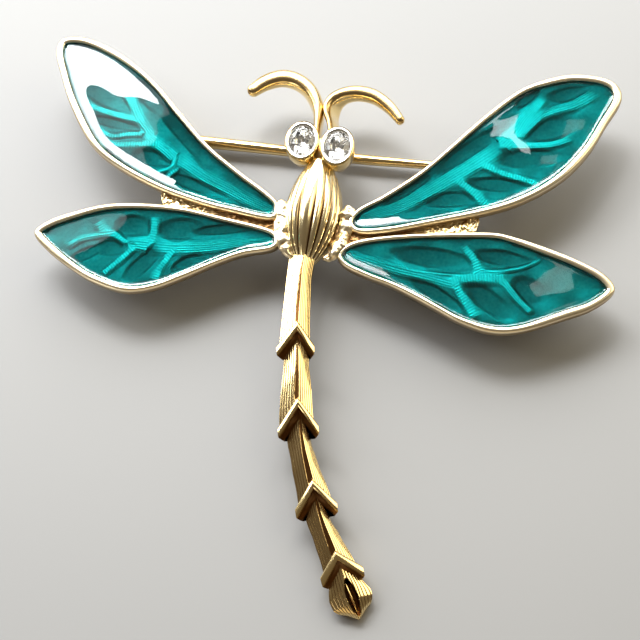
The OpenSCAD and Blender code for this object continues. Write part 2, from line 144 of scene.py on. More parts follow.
def curve(points, steps, closed=False):
    """The smooth curve through rows of points, in so many steps from one to the next."""
    p = np.array(points, float)
    p = np.vstack([p[-1:], p, p[:2]] if closed else [p[:1], p, p[-1:]])
    a, b, c, d = (p[k:len(p) - 3 + k, None] for k in range(4))
    t = (np.arange(steps) / steps)[None, :, None]
    line = 0.5 * (2 * b + (c - a) * t + (2 * a - 5 * b + 4 * c - d) * t**2 + (3 * b - a - 3 * c + d) * t**3)
    line = line.reshape(-1, p.shape[1])
    return line if closed else np.vstack([line, p[-1:]])


def headings(rows):
    """The way that a line of rows runs at each of them."""
    run = np.gradient(rows[:, :2], axis=0)
    return run / np.linalg.norm(run, axis=1)[:, None]


def smoothed(rows, rounds):
    """The rows evened out between the two ends."""
    rows = rows.copy()
    for _ in range(rounds):
        rows[1:-1] = (rows[:-2] + 2 * rows[1:-1] + rows[2:]) / 4
    return rows


def inset(outline, distance):
    """The outline moved inwards."""
    run = np.roll(outline, -1, axis=0) - np.roll(outline, 1, axis=0)
    inward = np.c_[-run[:, 1], run[:, 0]] / np.linalg.norm(run, axis=1)[:, None]
    return outline + inward * np.reshape(distance, (-1, 1))


def smoothstep(low, high, value):
    t = np.clip((value - low) / (high - low), 0, 1)
    return t * t * (3 - 2 * t)


def signed_power(value, power):
    return np.sign(value) * np.abs(value)**power


def full_turn(count):
    """Angles of points evenly spaced round a ring."""
    return np.linspace(0, 2 * np.pi, count, endpoint=False)


def turned_axes(degrees):
    """Matrix that puts rows of flat points into axes turned by the angle."""
    turn = math.radians(degrees)
    return np.array([[math.cos(turn), -math.sin(turn)], [math.sin(turn), math.cos(turn)]])


def ripple(points, layers):
    """Smooth noise at each point, the sum of (strength, size, seed) layers."""
    if points.shape[1] == 2:
        points = np.c_[points, np.zeros(len(points))]
    return sum(strength * np.array([noise.noise((x / size + seed, y / size - seed, z / size))
                                    for x, y, z in points]) for strength, size, seed in layers)


def places(across, along, up):
    """Points from their coordinates, where one number may stand for all of a kind."""
    return np.stack(np.broadcast_arrays(across, along, up), axis=-1)


def on_wing(points, heights, side, lift):
    """Points of a wing's own plane, at heights over its rims, where the part has them."""
    turn = math.radians(lift)
    across = points[..., 0] * math.cos(turn) - heights * math.sin(turn)
    up = points[..., 0] * math.sin(turn) + heights * math.cos(turn)
    return places(side * across, points[..., 1], RIM_HEIGHT + up)


def standing_ring(centre, way, half_width, half_height, angle):
    """An oval ring of points that stands across the way at its centre."""
    x, y, z = centre
    aside = half_width * np.cos(angle)
    return places(x + way[1] * aside, y - way[0] * aside, z + half_height * np.sin(angle))


def grid_faces(rows, columns, wrap=False, start=0):
    """Quads of a grid of points, with its columns closed into a ring where wrap is set."""
    i, j = np.meshgrid(np.arange(rows - 1), np.arange(columns if wrap else columns - 1), indexing="ij")
    k = (j + 1) % columns
    quads = np.stack([i * columns + j, i * columns + k, (i + 1) * columns + k, (i + 1) * columns + j],
                     axis=-1)
    return (quads.reshape(-1, 4) + start).tolist()


def ring_solid(rings):
    """Points and faces of a closed solid through rings of points."""
    rings = np.asarray(rings)
    count, around = rings.shape[:2]
    ends = [list(range(around)), list(range((count - 1) * around, count * around))]
    return rings.reshape(-1, 3), grid_faces(count, around, wrap=True) + ends


def wing_slab(grid, top, bottom, side, lift):
    """Points and faces of a solid over a grid in a wing's plane, from its top heights to a flat bottom."""
    rows, columns = grid.shape[:2]
    flat = grid.reshape(-1, 2)
    count = len(flat)
    number = np.arange(count).reshape(rows, columns)
    border = np.concatenate([number[0, :-1], number[:-1, -1], number[-1, :0:-1], number[:0:-1, 0]])
    following = np.roll(border, -1)
    walls = np.stack([border, following, following + count, border + count], axis=-1).tolist()
    return (np.vstack([on_wing(flat, heights, side, lift) for heights in (top, bottom)]),
            grid_faces(rows, columns) + grid_faces(rows, columns, start=count) + walls)


def at(points):
    """The part's millimetres in the frame's metres."""
    return (np.asarray(points, float) - [*MIDDLE, 0]) * MM


def add_object(name, data):
    thing = bpy.data.objects.new(name, data)
    bpy.context.scene.collection.objects.link(thing)
    return thing


def make_piece(name, parts, nodes, body="brooch", sharp=35):
    """One object in place of CAD nodes, from parts of (points, faces, material, shade of each point)."""
    points, faces, slots, materials, shades = [], [], [], [], []
    for part_points, part_faces, material, shade in parts:
        if material not in materials:
            materials.append(material)
        start = sum(len(p) for p in points)
        points.append(part_points)
        shades.append(np.broadcast_to(shade, len(part_points)))
        faces += [[start + v for v in face] for face in part_faces]
        slots += [materials.index(material)] * len(part_faces)
    mesh = bpy.data.meshes.new(name)
    mesh.from_pydata(at(np.vstack(points)).tolist(), [], faces)
    for material in materials:
        mesh.materials.append(material)
    mesh.polygons.foreach_set("material_index", slots)
    # The shade attribute darkens the gold: mostly painted shade and light, with some random speckle
    tone_and_shade = mesh.attributes.new("shade", "FLOAT", "POINT")
    tone_and_shade.data.foreach_set("value", np.concatenate(shades))
    work = bmesh.new()
    work.from_mesh(mesh)
    bmesh.ops.recalc_face_normals(work, faces=work.faces)
    if work.calc_volume(signed=True) < 0:
        bmesh.ops.reverse_faces(work, faces=work.faces)
    work.to_mesh(mesh)
    work.free()
    mesh.shade_smooth()
    mesh.set_sharp_from_angle(angle=math.radians(sharp))
    piece = add_object(name, mesh)
    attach(piece, body)
    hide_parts(*nodes)


# Materials

# Repeats of the gold's wear and grain in a metre, the wear's share of the shade, the grain's height in metres
WEAR_SCALE, GRAIN_SCALE = 900, 5000
WEAR_SHARE = 0.25
GRAIN_HEIGHT = 0.00003


def new_material(name, settings):
    """A material with settings of its main shader, by the shader's input names."""
    material = bpy.data.materials.new(name)
    material.use_nodes = True
    shader = material.node_tree.nodes["Principled BSDF"]
    for key, value in settings.items():
        shader.inputs[key].default_value = value
    return material, shader


def add_node(material, kind, settings=None):
    node = material.node_tree.nodes.new("ShaderNode" + kind)
    for key, value in (settings or {}).items():
        node.inputs[key].default_value = value
    return node


def gold_material(name, bright, dark, smooth, rough, grain):
    """Polished gold plate, darker where the shade attribute paints shade into grooves and hollows."""
    material, shader = new_material(name, {"Metallic": 1.0})
    shade = add_node(material, "Attribute")
    shade.attribute_name = "shade"
    place = add_node(material, "TexCoord")
    cloud = add_node(material, "TexNoise", {"Scale": WEAR_SCALE, "Detail": 4})
    wear_and_shade = add_node(material, "Math", {1: WEAR_SHARE})
    wear_and_shade.operation = "MULTIPLY_ADD"
    wear_and_shade.use_clamp = True
    colour = add_node(material, "Mix", {6: (*bright, 1), 7: (*dark, 1)})
    colour.data_type = "RGBA"
    gloss = add_node(material, "MapRange", {"To Min": smooth, "To Max": rough})
    grains = add_node(material, "TexNoise", {"Scale": GRAIN_SCALE, "Detail": 3})
    bump = add_node(material, "Bump", {"Strength": grain, "Distance": GRAIN_HEIGHT})
    for source, output, target, entry in [
            (place, "Object", cloud, "Vector"), (cloud, "Fac", wear_and_shade, 0), (shade, "Fac", wear_and_shade, 2),
            (wear_and_shade, 0, colour, 0), (colour, 2, shader, "Base Color"), (wear_and_shade, 0, gloss, "Value"),
            (gloss, "Result", shader, "Roughness"), (place, "Object", grains, "Vector"),
            (grains, "Fac", bump, "Height"), (bump, "Normal", shader, "Normal")]:
        material.node_tree.links.new(source.outputs[output], target.inputs[entry])
    return material


def glass_material(name, colour, roughness, refraction):
    return new_material(name, {"Base Color": (*colour, 1), "Roughness": roughness, "IOR": refraction,
                               "Transmission Weight": 1.0})[0]


def enamel_material():
    """Clear glass that takes its teal from its depth."""
    material = glass_material("enamel", (0.92, 1.0, 0.98), 0.015, 1.5)
    depth = add_node(material, "VolumeAbsorption", {"Color": (0.0, 0.88, 0.881, 1), "Density": 16000})
    output = material.node_tree.nodes["Material Output"]
    material.node_tree.links.new(depth.outputs["Volume"], output.inputs["Volume"])
    return material


DARK_GOLD = (0.16, 0.07, 0.02)
# Name, bright colour, dark colour for wear and painted shade, roughness of bright and dark, grain strength
GOLD = gold_material("gold", (1.0, 0.78, 0.38), DARK_GOLD, 0.15, 0.28, 0.04)
CAST_GOLD = gold_material("cast_gold", (1.0, 0.78, 0.4), DARK_GOLD, 0.22, 0.4, 0.3)
RELIEF = gold_material("relief", (0.55, 0.65, 0.64), (0.24, 0.3, 0.3), 0.42, 0.6, 0.05)
# Rougher gold for the body, its paler colour in part a painted highlight
SATIN_HIGHLIGHT_GOLD = gold_material("satin_highlight_gold", (1.0, 0.84, 0.5), DARK_GOLD, 0.2, 0.3, 0.05)
# Paler gold for the rims and seams, a painted highlight that whitens them
PALE_HIGHLIGHT_GOLD = gold_material("highlight_pale_gold", (1.0, 0.88, 0.62), (0.3, 0.17, 0.06), 0.27, 0.38, 0.05)
SILVER = gold_material("foil", (0.96, 0.95, 0.93), (0.7, 0.68, 0.65), 0.14, 0.3, 0.02)
ENAMEL = enamel_material()
CRYSTAL = glass_material("crystal", (1, 1, 1), 0.0, 1.62)


# Wings

# Points from one row of a table to the next
OUTLINE_STEPS = 12
VEIN_STEPS = 6
# Section of a wing's rim from its underside round to its pocket, (distance inwards, height over the rims)
RIM_SECTION = [
    (0.14, -1.2), (0.04, -1.16), (0, -1.05), (-0.01, -0.7), (0, -0.35), (0.03, -0.17), (0.1, -0.05),
    (0.2, 0), (0.3, -0.005), (0.4, -0.05), (0.46, -0.14), (0.49, -0.3), (0.52, -0.78)]
# Width of the rim that this section is drawn for
SECTION_WIDTH = 0.5
# Where the rims broaden, from and to, and their width before and after
BROADENING = (12, 28)
RIM_ROOT_WIDTH = 0.575
RIM_TIP_WIDTH = 0.85
# Share by which a rim's width varies, and how fast from point to point
RIM_UNEVENNESS = 0.06
RIM_WAVE = 0.21
# Height over the rims below which their walls get painted shade, where the tips get darker, and by how much
RIM_WALL_TOP = -0.2
RIM_WALL_SHADE = 0.5
SHADED_TIP = (21, 29)
TIP_SHADE = 0.2

# Points along and across a wing
FLOOR_GRID = (380, 120)
ENAMEL_GRID = (160, 60)
# How much more closely those points lie at its two ends
CROWDING = 0.3
# How far the relief and the enamel reach into the rim
FLOOR_LAP = 0.06
ENAMEL_LAP = 0.02

# Heights over the rims and painted shades of the relief, how both lean across a cell and rise on fine lines
FLOOR_LEVEL, FLOOR_SHADE = -0.38, 0.56
CELL_LEVEL, CELL_SHADE = -0.5, 0.63
CELL_LEAN, CELL_SHADE_LEAN = 0.05, 0.25
VEIN_LEVEL, VEIN_SHADE = -0.26, 0.18
LINE_RISE, LINE_SHADE, LINE_PITCH = 0.02, 0.22, 0.28
# Long waves of the floor, (height, wave), and the layers of its speckled shade
FLOOR_WAVES = [(0.03, (0.9, 1.7)), (0.02, (2.3, -1.1))]
SPECKLES = [(0.18, 0.28, 6.4), (0.12, 1.3, 2.9)]
# Shares of a cell's or a vein's half width over which its walls rise, and of a vein's length where it ends
CELL_WALL = (1.25, 0.75)
CELL_SHADE_WALL = (1.2, 0.9)
VEIN_WALL = (1.7, 0.45)
VEIN_END = (1, 0.86)
# The floor's deeper band along the head side's rim, with the rim's painted shadow on it
BAND_WIDTH, BAND_DEPTH, BAND_SHADOW = 0.9, 0.1, 0.5

ENAMEL_TOP = -0.1
ENAMEL_BOTTOM = -0.78
ENAMEL_RIPPLE = [(0.02, 4.5, 3.1)]
# How the enamel climbs every rim, (height, width), and the width and soft ends of its pools on the tail side
MENISCUS = (0.05, 0.12)
POOL_WIDTH = 0.6
POOL_END = 2


def pocket_grid(outline, turn, shape):
    """A grid of points that fills the outline, its long lines along the wing.

    With it come each point's distance from the border and that from the tail side.
    """
    long_count, cross_count = shape
    spin = turned_axes(turn)
    flat = outline @ spin
    first, last = np.argmin(flat[:, 0]), np.argmax(flat[:, 0])
    ring = np.vstack([flat, flat])
    if last < first:
        last += len(flat)
    sides = ring[first:last + 1], ring[last:first + len(flat) + 1][::-1]
    t = np.linspace(0.001, 0.999, long_count)
    t = (1 - CROWDING) * t + CROWDING * (0.5 - 0.5 * np.cos(np.pi * t))
    along = flat[:, 0].min() + (flat[:, 0].max() - flat[:, 0].min()) * t
    low, high = (np.interp(along, np.maximum.accumulate(side[:, 0]), side[:, 1]) for side in sides)
    cross = np.linspace(0, 1, cross_count)
    from_low = cross * (high - low)[:, None]
    grid = np.stack(np.broadcast_arrays(along[:, None], low[:, None] + from_low), axis=-1)
    edge = np.minimum(cross, 1 - cross) * (high - low)[:, None]
    ends = np.minimum(along - along[0], along[-1] - along)[:, None]
    return grid @ spin.T, np.minimum(edge, ends + 0.3 * edge).reshape(-1), from_low.reshape(-1)


def near_line(points, line):
    """Each point's distance from the line, its side and its share of the line's length, and that length."""
    best = np.full(len(points), np.inf)
    along = np.zeros(len(points))
    sides = np.zeros(len(points))
    start = 0.0
    for a, b in zip(line[:-1], line[1:]):
        run = b - a
        length = np.linalg.norm(run)
        t = np.clip((points - a) @ run / length**2, 0, 1)
        off = points - a - t[:, None] * run
        distance = np.linalg.norm(off, axis=1)
        nearer = distance < best
        best[nearer] = distance[nearer]
        along[nearer] = start + t[nearer] * length
        sides[nearer] = np.sign(run[0] * off[nearer, 1] - run[1] * off[nearer, 0])
        start += length
    return best, sides, along / start, start


def relief(points, veins, cells, side):
    """Height of the relief under the enamel, over the rims, and its painted shade and light."""
    height = FLOOR_LEVEL + sum(size * np.sin(points @ wave) for size, wave in FLOOR_WAVES)
    shade = np.full(len(points), FLOOR_SHADE)
    for x, y, half_length, half_width, turn in cells:
        offset = points - [x, y]
        local = offset @ turned_axes(turn)
        reach = np.hypot(local[:, 0] / half_length, local[:, 1] / half_width)
        lean = np.clip(offset @ [side, -1] / (half_length + half_width), -1, 1)
        height += (CELL_LEVEL + CELL_LEAN * lean - height) * smoothstep(*CELL_WALL, reach)
        # Painted shade in each cell, lighter on one side
        shade += (CELL_SHADE - CELL_SHADE_LEAN * lean - shade) * smoothstep(*CELL_SHADE_WALL, reach)
    for rows, start_width, end_width, lines in veins:
        distance, flank, along, length = near_line(points, curve(rows, VEIN_STEPS))
        width = start_width + (end_width - start_width) * along
        before = along <= 0
        ridge = smoothstep(*VEIN_WALL, distance / width * np.where(before, 2, 1))
        ridge *= smoothstep(*VEIN_END, along)
        if lines == "along":
            count = max(1, round(2 * max(start_width, end_width) / LINE_PITCH))
            waves = np.cos(np.pi * count * distance * flank / width)
        else:
            waves = np.cos(2 * np.pi * along * length / LINE_PITCH + 2 * flank * distance)
        waves[before] = 0
        height += (VEIN_LEVEL + LINE_RISE * waves - height) * ridge
        # Painted light on the veins, painted shade between their fine lines
        shade += (VEIN_SHADE - LINE_SHADE * waves - shade) * ridge
    return height, shade + ripple(points, SPECKLES)


def rim_width(edge):
    """Width of a wing's rim along its outline, broader towards the tip."""
    return RIM_ROOT_WIDTH + (RIM_TIP_WIDTH - RIM_ROOT_WIDTH) * smoothstep(*BROADENING, edge[:, 0])


def wing_tray(edge, side, lift, veins, cells, turn):
    """A wing's gold tray: its rounded rim and the relief on its floor."""
    width = rim_width(edge)
    broad = width / SECTION_WIDTH * (1 + RIM_UNEVENNESS * np.sin(np.arange(len(edge)) * RIM_WAVE))
    rim = ring_solid([on_wing(inset(edge, inwards * broad), height, side, lift)
                      for inwards, height in RIM_SECTION])
    tip = TIP_SHADE * smoothstep(*SHADED_TIP, edge[:, 0])
    # Painted shade on the rims' lower walls, and darker tips
    rim_shade = np.concatenate([tip + RIM_WALL_SHADE * (height <= RIM_WALL_TOP) for _, height in RIM_SECTION])
    grid, border, tail_side = pocket_grid(inset(edge, width - FLOOR_LAP), turn, FLOOR_GRID)
    flat = grid.reshape(-1, 2)
    height, shade = relief(flat, veins, cells, side)
    band = np.exp(-border / BAND_WIDTH) * (tail_side > border)
    points = on_wing(flat, height - BAND_DEPTH * band, side, lift)
    # The head side's band gets the painted shadow of the rim
    return [(*rim, PALE_HIGHLIGHT_GOLD, rim_shade), (points, grid_faces(*FLOOR_GRID), RELIEF, shade + BAND_SHADOW * band)]


def wing_enamel(edge, side, lift, turn, pool):
    """The clear enamel that fills a tray, slightly rippled. It climbs the rim, most where it pools."""
    grid, border, tail_side = pocket_grid(inset(edge, rim_width(edge) - ENAMEL_LAP), turn, ENAMEL_GRID)
    flat = grid.reshape(-1, 2)
    across = flat[:, 0]
    first, last, deep = pool
    pooled = smoothstep(first - POOL_END, first, across) * smoothstep(last + POOL_END, last, across)
    climb, narrow = MENISCUS
    top = (ENAMEL_TOP + ripple(flat, ENAMEL_RIPPLE) + climb * np.exp(-border / narrow)
           + deep * pooled * np.exp(-tail_side / POOL_WIDTH))
    return [(*wing_slab(grid, top, ENAMEL_BOTTOM, side, lift), ENAMEL, 0.0)]


for name, side, lift, outline, veins, cells, turn, pool in WINGS:
    edge = curve(outline, OUTLINE_STEPS, closed=True)
    make_piece("tray_" + name, wing_tray(edge, side, lift, veins, cells, turn), ["casting"])
    make_piece("enamel_" + name, wing_enamel(edge, side, lift, turn, pool), ["enamel_" + name],
               sharp=50)


# Body, webs and head

THORAX_CENTRE = (-0.2, 0.25)
THORAX_LENGTH = 12.2
THORAX_HALF_WIDTH = 2.92
THORAX_RISE = 2.3
THORAX_LEAN = 2
# Powers that round its plan and its height, by half, and how much it falls towards the head
TAIL_HALF_POWER = 0.6
HEAD_HALF_POWER = 0.66
HEAD_FALL = 0.24
# Shares of its length where the rounded end starts, and that it takes
ROUND_START = 0.9
ROUND_LENGTH = 0.055
# Where its grooves lie, in degrees round its top from the right, their depth and their painted shade
GROOVES = np.radians([-9, 9, 26, 43, 62, 81, 114, 131, 147, 163, 189])
GROOVE_DEPTH = 0.11
GROOVE_DARKNESS = 8
GROOVE_EDGE = (0.75, 0.15)
RIB_POWER = 0.8
# Shares of the length over which they fade towards the head, and angles over which they fade leftwards
RIB_FADE = (0.4, 0.85)
LEFT_FADE = (1.7, 2.6)
# Shares of the length where its rings lie, closer together at both ends, and half a ring's points
THORAX_RINGS = np.concatenate([[0.01, 0.025, 0.05], np.linspace(0.08, ROUND_START - 0.01, 60),
                               ROUND_START + ROUND_LENGTH * np.sin(np.linspace(0, 0.97, 12) * np.pi / 2)])
THORAX_POINTS = 361
# Rough seams where the wings join the body, (across, along, radius)
SEAMS = [
    [(-3.65, 1.2, 0.3), (-3.4, 0.5, 0.5), (-3.25, -0.6, 0.55), (-3.05, -1.9, 0.6), (-2.7, -3.1, 0.6),
     (-2.15, -4.2, 0.55), (-1.4, -5, 0.3)],
    [(3.2, 1.2, 0.3), (3.4, 0.5, 0.55), (3.45, -0.5, 0.6), (3.35, -1.5, 0.5), (3.15, -2.6, 0.55),
     (2.8, -3.5, 0.6), (2.2, -4.4, 0.5), (1.5, -4.9, 0.3)]]
SEAM_HEIGHT = RIM_HEIGHT - 0.35
SEAM_SPREAD = 1.3
SEAM_STEPS = 14
SEAM_SIDES = 40
# Layers of the roughness of a seam and of a web, (height, size, seed)
SEAM_ROUGHNESS = [(0.2, 0.7, 0), (0.07, 0.3, 5)]
WEB_ROUGHNESS = [(1, 0.5, 8.2), (0.6, 0.2, 1.7)]
WEB_BUMPS = 0.12
# Where the webs get painted shade towards the body, and at which roughness they get darker
NEAR_BODY = (14, 9)
WEB_HOLLOWS = (0.4, -0.6)
SEAM_HOLLOWS = (0.02, -0.15)
WEB_TOP = -0.7
WEB_STEPS = 10
WEB_GRID = (150, 24)
WEB_LEFT = [
    (2, 0.2), (4.2, -0.9), (8.3, -0.6), (12, 0), (15.8, 1), (15.4, -0.8), (13.6, -0.9), (9.6, -1.45),
    (5.7, -2.05), (2, -3.1)]
WEB_RIGHT = [
    (2, 0.1), (4.6, -1.5), (7.5, -1.25), (11.9, 0), (16.2, 1.2), (16, -0.8), (13.9, -1.05), (8.3, -1.85),
    (4.4, -2.9), (2, -3.3)]
EYES = [(-1.97, 6.9), (1.67, 6.6)]
EYE_OVAL = 0.81
EYE_SIDES = 96
CUP_TOP = RIM_HEIGHT + 1.9
# Sections of a cup's wall and of its bezel and seat, (radius, height over the cup's top, painted shade)
CUP_WALL = [
    (1.57, -3.05, 0.3), (1.67, -2.4, 0.2), (2.09, -1.7, 0.1), (2.17, -1.2, 0), (2.17, -0.15, 0),
    (2.13, -0.05, 0), (2.05, 0, 0), (2, -0.03, 0), (1.99, -0.12, 0.3), (1.97, -1.6, 0.5)]
BEZEL = [
    (0.02, -1.7, 0), (1.96, -1.7, 0), (2.01, -0.06, 0), (1.96, 0.01, 0), (1.84, 0.03, 0), (1.68, -0.03, 0),
    (1.62, -0.1, 0), (1.6, -0.2, 0.2), (1.65, -0.35, 0.3), (1.6, -0.9, 0.3), (0.3, -1.5, 0.2),
    (0.02, -1.5, 0.2)]
# Corners of a crystal from its table to its point, (count, radius, first angle, height over the cup's top)
STONE_CORNERS = [(8, 0.952, 0, 0.25), (8, 1.326, 22.5, 0.06), (16, 1.7, 0, -0.25), (16, 1.7, 0, -0.37),
                 (8, 0.68, 22.5, -0.96), (1, 0, 0, -1.32)]
# Levels of the block under the cups, (radius of its ends, height over the wings' undersides)
BLOCK_LEVELS = [(1.4, 0.03), (1.5, 0.1), (1.5, 0.95), (1.42, 1.12), (1.2, 1.2)]
BLOCK_ALONG = 6.75
BLOCK_SIDES = 72


def thorax():
    """The pointed oval body with rounded ribs that run along it and fade towards the head."""
    angle = np.linspace(0, np.pi, THORAX_POINTS)
    number = np.searchsorted(GROOVES, angle, side="right") - 1
    ribs = np.sin(np.pi * (angle - GROOVES[number]) / (GROOVES[number + 1] - GROOVES[number]))**RIB_POWER
    rings, shades = [], []
    for s in THORAX_RINGS:
        end = math.sqrt(1 - (max(s - ROUND_START, 0) / (ROUND_LENGTH + 0.0001))**2)
        swell = math.sin(math.pi * s)
        if s < 0.5:
            wide = high = swell**TAIL_HALF_POWER
        else:
            wide, high = swell**HEAD_HALF_POWER, 1 - HEAD_FALL * smoothstep(0.5, 1, s)
        depth = (GROOVE_DEPTH * (1 - 0.9 * smoothstep(*RIB_FADE, s))
                 * (1 - 0.5 * smoothstep(*LEFT_FADE, angle)))
        radius = end * (1 - depth + depth * ribs)
        rings.append(places(THORAX_HALF_WIDTH * wide * radius * np.cos(angle), THORAX_LENGTH * (s - 0.5),
                            WING_BASE + (WING_THICKNESS + THORAX_RISE) * high * radius * np.sin(angle)))
        # Painted shade in the grooves
        shades.append(smoothstep(*GROOVE_EDGE, ribs) * GROOVE_DARKNESS * depth)
    rings = np.array(rings)
    rings[..., :2] = rings[..., :2] @ turned_axes(THORAX_LEAN) + THORAX_CENTRE
    return *ring_solid(rings), SATIN_HIGHLIGHT_GOLD, np.concatenate(shades)


def seam(rows, seed):
    """A rough seam of cast metal along the body."""
    line = curve(rows, SEAM_STEPS)
    radii = line[:, 2] * np.sqrt(1.02 - np.linspace(-1, 1, len(line))**6)
    line[:, 2] = SEAM_HEIGHT
    rings = np.array([standing_ring(centre, way, SEAM_SPREAD * radius, radius, full_turn(SEAM_SIDES))
                      for centre, way, radius in zip(line, headings(line), radii)])
    outward = (rings - line[:, None]).reshape(-1, 3)
    outward /= np.linalg.norm(outward, axis=1)[:, None]
    points, faces = ring_solid(rings)
    rough = ripple(points, [(height, size, seed + further) for height, size, further in SEAM_ROUGHNESS])
    return points + outward * rough[:, None], faces, PALE_HIGHLIGHT_GOLD, smoothstep(*SEAM_HOLLOWS, rough) * 0.8


def web(outline, side):
    """The rough cast web between a side's two wings, with painted shade near the body."""
    grid, *_ = pocket_grid(curve(outline, WEB_STEPS, closed=True), 2, WEB_GRID)
    flat = grid.reshape(-1, 2)
    rough = ripple(flat, WEB_ROUGHNESS)
    slab = wing_slab(grid, WEB_TOP + WEB_BUMPS * rough, -WING_THICKNESS, side, WEB_LIFT)
    # Painted shade near the body, darker hollows, and an evenly darker underside
    top_shade = np.maximum(smoothstep(*WEB_HOLLOWS, rough), smoothstep(*NEAR_BODY, flat[:, 0])) * 0.8
    return *slab, CAST_GOLD, np.concatenate([top_shade, np.full(len(flat), 0.5)])


def eye_ring(x, y, radius, height, angle):
    """A level oval ring of points round an eye, its height measured from the cup's top."""
    return places(x + EYE_OVAL * radius * np.cos(angle), y + radius * np.sin(angle), CUP_TOP + height)


def eye_cup(x, y):
    """A cup for a crystal: a gold wall with a rolled rim, and a silvered bezel and seat inside it."""
    angle = full_turn(EYE_SIDES)
    parts = []
    for rows, material in ((CUP_WALL, GOLD), (BEZEL, SILVER)):
        solid = ring_solid([eye_ring(x, y, radius, height, angle) for radius, height, _ in rows])
        # Painted shade on the foot of the wall, inside it and on the seat
        parts.append((*solid, material, np.repeat([shade for *_, shade in rows], EYE_SIDES)))
    return parts


def crystal(x, y):
    """A brilliant-cut crystal with a foiled back: table, star, kite and girdle facets over a pavilion."""
    points = np.vstack([eye_ring(x, y, radius, height, math.radians(start) + full_turn(count))
                        for count, radius, start, height in STONE_CORNERS])
    crown, pavilion = [list(range(8))], []
    for i in range(8):
        following, star, before, g = (i + 1) % 8, 8 + i, 8 + (i + 7) % 8, 16 + 2 * i
        h = 16 + (2 * i + 2) % 16
        crown += [[i, following, star], [i, star, g, before], [star, g + 1, g], [star, h, g + 1]]
        low, high, back, ahead = 32 + 2 * i, 32 + (2 * i + 2) % 16, 48 + i, 48 + (i + 1) % 8
        pavilion += [[low, low + 1, back], [low + 1, high, back], [back, high, ahead], [back, ahead, 56]]
    for i in range(16):
        crown.append([16 + i, 16 + (i + 1) % 16, 32 + (i + 1) % 16, 32 + i])
    return [(points, crown, CRYSTAL, 0.0), (points, pavilion, SILVER, 0.0)]


def head_block():
    """The block under the cups."""
    angle = full_turn(BLOCK_SIDES)
    middle = np.where(np.cos(angle) < 0, EYES[0][0], EYES[1][0])
    rings = [places(middle + radius * np.cos(angle), BLOCK_ALONG + radius * np.sin(angle), WING_BASE + height)
             for radius, height in BLOCK_LEVELS]
    return *ring_solid(rings), CAST_GOLD, 0.5


body_parts = [thorax(), head_block(), web(WEB_LEFT, -1), web(WEB_RIGHT, 1)]
body_parts += [seam(rows, number * 3.7) for number, rows in enumerate(SEAMS)]
make_piece("ribbed_body", body_parts, ["casting"])
make_piece("eye_cups", eye_cup(*EYES[0]) + eye_cup(*EYES[1]), ["casting"])
make_piece("crystal_left", crystal(*EYES[0]), ["stone_left"], sharp=1)
make_piece("crystal_right", crystal(*EYES[1]), ["stone_right"], sharp=1)


# Antennae

ANTENNA_TOP = RIM_HEIGHT + 0.6
ANTENNA_POWER = 0.75
ANTENNA_STEPS = 10
ANTENNA_SIDES = 40
# Rings of the rounded tip, shares of a quarter turn
ANTENNA_TIP = np.linspace(0.15, 0.97, 7)
# Shares of the height over which the flat top gets a painted dark reflection, and how dark
ANTENNA_SHADED = (0.75, 0.98)
ANTENNA_SHADE = 0.6
# From the head out to the tip, (across, along, width, depth, how far the foot leans out across)
ANTENNA_LEFT = [
    (-0.75, 8.2, 0.7, 3, 0), (-0.9, 9.6, 0.85, 2.9, 0), (-0.98, 11, 1.15, 2.7, 0),
    (-1.35, 12.2, 1.4, 2.4, 0), (-2.3, 13.6, 1.55, 2.1, 0), (-3.7, 14.5, 1.65, 1.9, 0),
    (-5.3, 14.7, 1.7, 1.7, 0), (-6.9, 14.05, 1.6, 1.5, 0), (-8.1, 12.95, 1.3, 1.2, 0)]
ANTENNA_RIGHT = [
    (0.65, 8.4, 0.8, 3.4, 0.9), (0.32, 9.8, 0.85, 3.4, 0.9), (-0.12, 10.9, 0.95, 3.2, 0.9),
    (-0.2, 11.8, 1.1, 3, 0.9), (0.35, 12.75, 1.3, 2.6, 0.6), (1.5, 13.4, 1.4, 2.1, 0.2),
    (3, 13.65, 1.45, 1.8, 0), (4.7, 13.3, 1.4, 1.6, 0), (6.3, 12.2, 1.25, 1.3, 0), (7.55, 10.8, 0.95, 1, 0)]


def antenna(rows):
    """A rounded strip on edge, deeper towards the head, with a rounded tip."""
    line = curve(rows, ANTENNA_STEPS)
    run = headings(line)
    stations = [(row, way, 1.0) for row, way in zip(line, run)]
    for a in ANTENNA_TIP * np.pi / 2:
        beyond = line[-1].copy()
        beyond[:2] += run[-1] * beyond[2] / 2 * math.sin(a)
        stations.append((beyond, run[-1], math.cos(a)))
    angle = full_turn(ANTENNA_SIDES)
    across = signed_power(np.cos(angle), ANTENNA_POWER)
    upright = signed_power(np.sin(angle), ANTENNA_POWER)
    rings = []
    for (x, y, width, depth, lean), way, size in stations:
        aside = width / 2 * size * across
        rings.append(places(x + way[1] * aside + lean * (1 - upright) / 2, y - way[0] * aside,
                            ANTENNA_TOP - depth / 2 + size * depth / 2 * upright))
    # Painted dark reflection along the flat top
    top_shade = ANTENNA_SHADE * smoothstep(*ANTENNA_SHADED, upright)
    return *ring_solid(rings), GOLD, np.tile(top_shade, len(stations))


make_piece("antennae", [antenna(ANTENNA_LEFT), antenna(ANTENNA_RIGHT)], ["casting"])


# Tail

